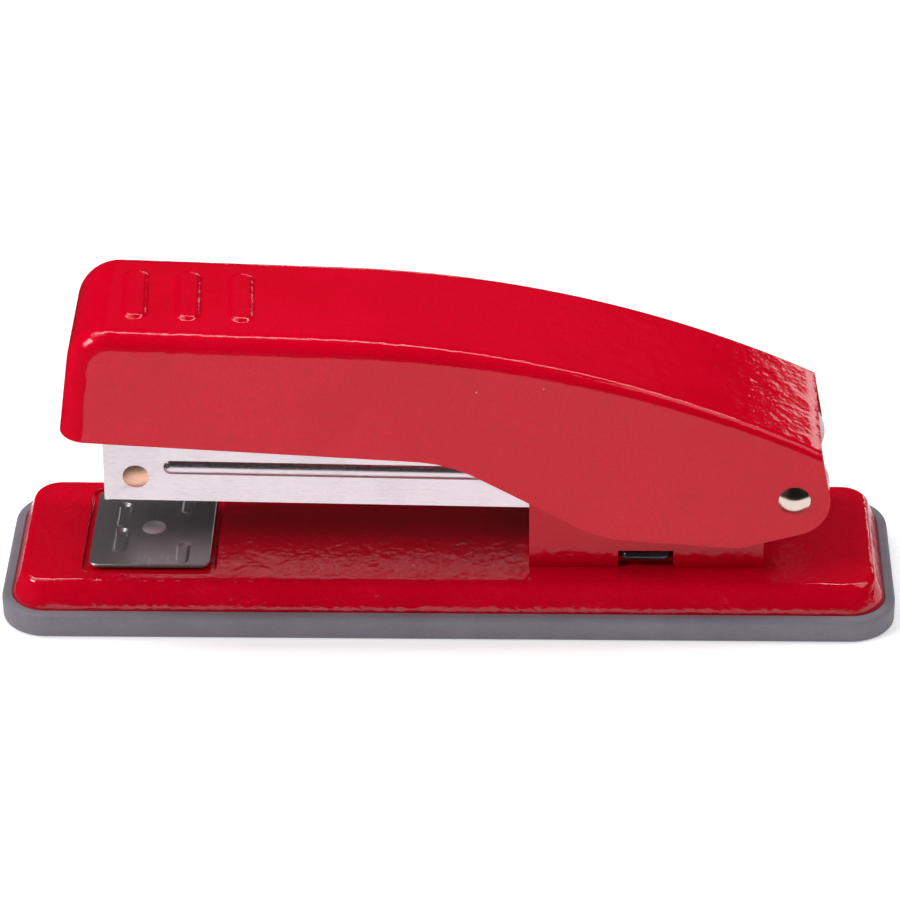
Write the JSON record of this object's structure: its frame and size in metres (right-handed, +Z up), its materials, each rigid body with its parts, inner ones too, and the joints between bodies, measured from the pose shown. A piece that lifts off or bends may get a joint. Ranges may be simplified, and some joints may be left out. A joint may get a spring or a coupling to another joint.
{
  "type": "desk stapler",
  "caption": "Desk stapler with enamelled base and cover, tilting plated magazine, sliding follower and an anvil that lifts and turns for clinching or pinning.",
  "frame": {"origin": "centre of the underside of the rubber pad", "axes": "+X towards the hinge end, -X towards the nose, +Z up, Y across; the hinge axis is parallel to Y"},
  "size_m": [0.134, 0.0338, 0.05],
  "materials": {
    "pad": "matte moulded",
    "base_enamel": "gloss enamel",
    "bracket_enamel": "gloss enamel",
    "cover_enamel": "gloss enamel with fine orange peel",
    "rivets": "zinc plated",
    "pin": "nickel plated",
    "washers": "zinc plated",
    "black_spring": "blackened spring steel",
    "coils": "drawn wire",
    "button": "pressed",
    "anvil": "polished",
    "magazine": "bright plated",
    "nose_rivets": "copper plated",
    "inner_steel": "plated",
    "staples": "galvanised wire",
    "follower": "blackened",
    "blade": "hardened"
  },
  "bodies": {
    "base": {"rubber_pad": "pad", "base_pan": "base_enamel", "base_bracket": "bracket_enamel", "bracket_rivet_front": "rivets", "bracket_rivet_rear": "rivets", "pivot_pin": "pin", "pivot_washer_left": "washers", "pivot_washer_right": "washers", "lift_spring": "black_spring", "anvil_spring": "coils"},
    "button": {"anvil_button": "button"},
    "anvil": {"anvil_plate": "anvil", "anvil_pin": "anvil"},
    "magazine": {"magazine_channel": "magazine", "nose_plate": "magazine", "nose_rivet_left": "nose_rivets", "nose_rivet_right": "nose_rivets", "inner_rail": "inner_steel", "staple_strip": "staples", "guide_rod": "inner_steel", "rear_stop": "inner_steel", "follower_spring": "coils", "spring_seat": "inner_steel", "handle_spring": "coils"},
    "follower": {"follower": "follower"},
    "handle": {"handle_cover": "cover_enamel", "driver_blade": "blade", "driver_saddle": "inner_steel", "driver_rivet_front": "rivets", "driver_rivet_rear": "rivets", "spring_bridge": "inner_steel"}
  },
  "joints": [
    {"name": "magazine_tilt", "type": "hinge", "parent": "base", "child": "magazine", "pos_m": [0.0512, 0, 0.0219], "axis": [0, 1, 0], "range_deg": [-4.6, 80], "stiffness_Nm_per_rad": 0.6, "springref_deg": 6.88, "deforming": ["lift_spring"]},
    {"name": "handle_press", "type": "hinge", "parent": "magazine", "child": "handle", "pos_m": [0.0512, 0, 0.0219], "axis": [0, 1, 0], "range_deg": [-4.5, 75], "stiffness_Nm_per_rad": 0.6, "springref_deg": 3.44, "deforming": ["handle_spring"]},
    {"name": "anvil_lift", "type": "slide", "parent": "base", "child": "button", "axis": [0, 0, 1], "range_m": [0, 0.0008], "stiffness_N_per_m": 400, "springref_m": -0.002, "deforming": ["anvil_spring"]},
    {"name": "anvil_turn", "type": "hinge", "parent": "button", "child": "anvil", "pos_m": [-0.0447, 0, 0.008], "axis": [0, 0, 1], "range_deg": [0, 180]},
    {"name": "follower_slide", "type": "slide", "parent": "magazine", "child": "follower", "axis": [0.9999, 0, -0.0157], "range_m": [0, 0.02], "stiffness_N_per_m": 30, "springref_m": -0.02, "deforming": ["follower_spring"]}
  ]
}
